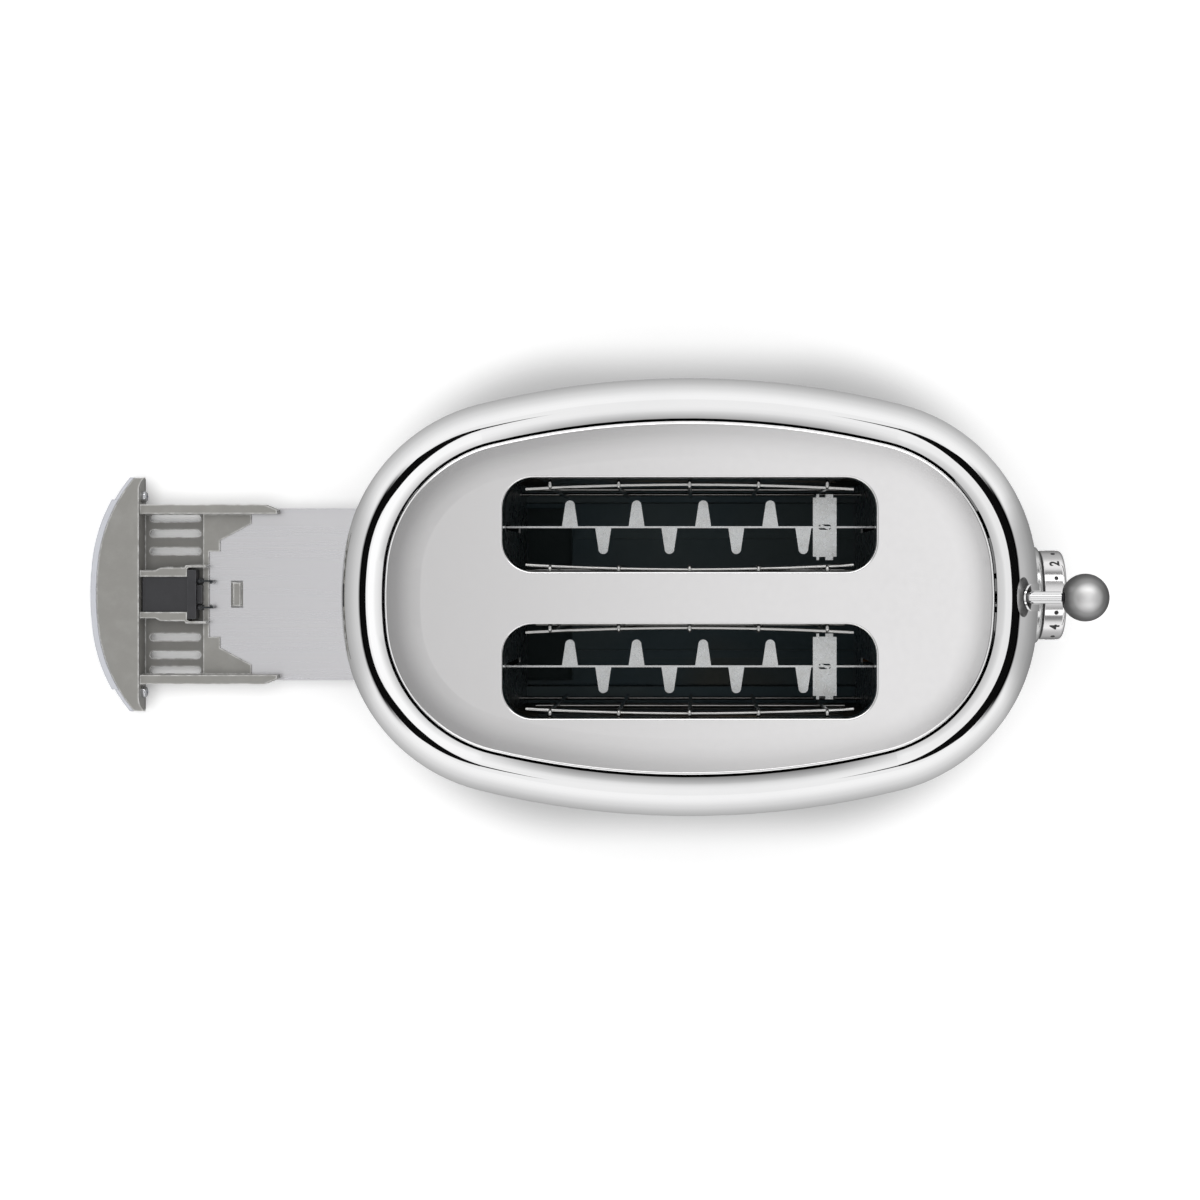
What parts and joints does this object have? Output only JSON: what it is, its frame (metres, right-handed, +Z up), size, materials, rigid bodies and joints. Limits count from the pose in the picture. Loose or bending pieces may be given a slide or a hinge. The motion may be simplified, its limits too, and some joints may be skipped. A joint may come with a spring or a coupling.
{
  "type": "toaster",
  "caption": "Oval polished-metal toaster with long bread slots in its top, a ball-ended lever, a browning dial, push buttons and a latched pull-out crumb tray.",
  "frame": {"origin": "middle of the body at the level of the table it stands on", "axes": "+X along the body towards the lever and dial, +Z up, the crumb tray pulls out along -X"},
  "size_m": [0.4759, 0.1992, 0.1959],
  "materials": {
    "mirror_chrome": "mirror polished",
    "satin_steel": "satin",
    "galvanised_steel": "spangled zinc",
    "guide_wire": "drawn wire",
    "mica_board": "matt mica",
    "heating_ribbon": "oxidised",
    "grey_plastic": "fine moulded",
    "black_plastic": "moulded",
    "black_rubber": "matt",
    "circuit_board": "lacquered",
    "wound_core": "lacquered"
  },
  "bodies": {
    "housing": {"base_band": "mirror_chrome", "base_pan": "galvanised_steel", "base_screws": "guide_wire", "board_standoffs": "galvanised_steel", "body_shell": "mirror_chrome", "button_bezels": "mirror_chrome", "button_switches": "black_plastic", "control_board": "circuit_board", "control_ring": "mirror_chrome", "cord_gland": "black_plastic", "dial_potentiometer": "black_plastic", "electromagnet": "wound_core", "feet": "black_rubber", "guide_rod": "guide_wire", "heat_shield_left": "galvanised_steel", "heat_shield_right": "galvanised_steel", "heater_card_centre": "mica_board", "heater_card_left": "mica_board", "heater_card_right": "mica_board", "heater_ribbon_centre_left": "heating_ribbon", "heater_ribbon_centre_right": "heating_ribbon", "heater_ribbon_left": "heating_ribbon", "heater_ribbon_right": "heating_ribbon", "lever_bulkhead": "galvanised_steel", "lever_slot_trim": "mirror_chrome", "return_spring": "guide_wire", "rod_brackets": "galvanised_steel", "terminal_block": "black_plastic", "top_plate": "satin_steel", "tray_bulkhead": "galvanised_steel", "tray_rails": "galvanised_steel", "tray_striker": "galvanised_steel"},
    "carriage": {"bread_rest_left": "galvanised_steel", "bread_rest_right": "galvanised_steel", "rest_saddles": "galvanised_steel", "slider_bracket": "galvanised_steel", "slider_bush": "black_plastic", "keeper_plate": "guide_wire", "lever_arm": "satin_steel", "lever_collar": "black_plastic", "lever_ball": "satin_steel"},
    "guide_left_outer": {"bread_guide_left_outer": "guide_wire"},
    "guide_left_inner": {"bread_guide_left_inner": "guide_wire"},
    "guide_right_inner": {"bread_guide_right_inner": "guide_wire"},
    "guide_right_outer": {"bread_guide_right_outer": "guide_wire"},
    "dial": {"dial_knob": "satin_steel", "dial_shaft": "guide_wire"},
    "left_lower_button": {"button_left_lower": "satin_steel"},
    "left_upper_button": {"button_left_upper": "satin_steel"},
    "right_lower_button": {"button_right_lower": "satin_steel"},
    "right_upper_button": {"button_right_upper": "satin_steel"},
    "tray": {"tray_front": "grey_plastic", "tray_fascia": "mirror_chrome", "tray_plate": "satin_steel", "tray_screws": "guide_wire", "latch_body": "black_plastic"},
    "plunger": {"latch_plunger": "black_plastic"},
    "claw_left": {"latch_claw_left": "guide_wire"},
    "claw_right": {"latch_claw_right": "guide_wire"}
  },
  "joints": [
    {"name": "lever_slide", "type": "slide", "parent": "housing", "child": "carriage", "axis": [0, 0, -1], "range_m": [0, 0.07], "stiffness_N_per_m": 50, "springref_m": -0.06, "deforming": ["return_spring"]},
    {"name": "guide_left_outer_swing", "type": "hinge", "parent": "housing", "child": "guide_left_outer", "pos_m": [0, 0.048, 0.06], "axis": [1, 0, 0], "range_deg": [0, 3.1]},
    {"name": "guide_left_inner_swing", "type": "hinge", "parent": "housing", "child": "guide_left_inner", "pos_m": [0, 0.0118, 0.06], "axis": [-1, 0, 0], "range_deg": [0, 3.1]},
    {"name": "guide_right_inner_swing", "type": "hinge", "parent": "housing", "child": "guide_right_inner", "pos_m": [0, -0.0127, 0.06], "axis": [1, 0, 0], "range_deg": [0, 3.1]},
    {"name": "guide_right_outer_swing", "type": "hinge", "parent": "housing", "child": "guide_right_outer", "pos_m": [0, -0.0492, 0.06], "axis": [-1, 0, 0], "range_deg": [0, 3.1]},
    {"name": "dial_turn", "type": "hinge", "parent": "housing", "child": "dial", "pos_m": [0.171, 0, 0.056], "axis": [-1, 0, 0], "range_deg": [-90, 135]},
    {"name": "left_lower_press", "type": "slide", "parent": "housing", "child": "left_lower_button", "axis": [-0.9426, -0.334, 0], "range_m": [0, 0.0015], "stiffness_N_per_m": 400, "springref_m": -0.001},
    {"name": "left_upper_press", "type": "slide", "parent": "housing", "child": "left_upper_button", "axis": [-0.9426, -0.334, 0], "range_m": [0, 0.0015], "stiffness_N_per_m": 400, "springref_m": -0.001},
    {"name": "right_lower_press", "type": "slide", "parent": "housing", "child": "right_lower_button", "axis": [-0.9426, 0.334, 0], "range_m": [0, 0.0015], "stiffness_N_per_m": 400, "springref_m": -0.001},
    {"name": "right_upper_press", "type": "slide", "parent": "housing", "child": "right_upper_button", "axis": [-0.9426, 0.334, 0], "range_m": [0, 0.0015], "stiffness_N_per_m": 400, "springref_m": -0.001},
    {"name": "tray_slide", "type": "slide", "parent": "housing", "child": "tray", "axis": [-1, 0, 0], "range_m": [-0.1445, 0.1]},
    {"name": "plunger_press", "type": "slide", "parent": "tray", "child": "plunger", "axis": [-1, 0, 0], "range_m": [0, 0.005], "stiffness_N_per_m": 150, "springref_m": -0.003},
    {"name": "claw_left_close", "type": "hinge", "parent": "tray", "child": "claw_left", "pos_m": [-0.2446, 0.0066, 0.0134], "axis": [0, 0, -1], "range_deg": [0, 8]},
    {"name": "claw_right_close", "type": "hinge", "parent": "tray", "child": "claw_right", "pos_m": [-0.2446, -0.0066, 0.0134], "axis": [0, 0, 1], "range_deg": [0, 8]}
  ],
  "couplings": [
    {"joint": "guide_left_outer_swing", "follows": "lever_slide", "rad_per_m": 0.748},
    {"joint": "guide_left_inner_swing", "follows": "lever_slide", "rad_per_m": 0.748},
    {"joint": "guide_right_inner_swing", "follows": "lever_slide", "rad_per_m": 0.748},
    {"joint": "guide_right_outer_swing", "follows": "lever_slide", "rad_per_m": 0.748},
    {"joint": "claw_left_close", "follows": "plunger_press", "rad_per_m": 27},
    {"joint": "claw_right_close", "follows": "plunger_press", "rad_per_m": 27}
  ]
}
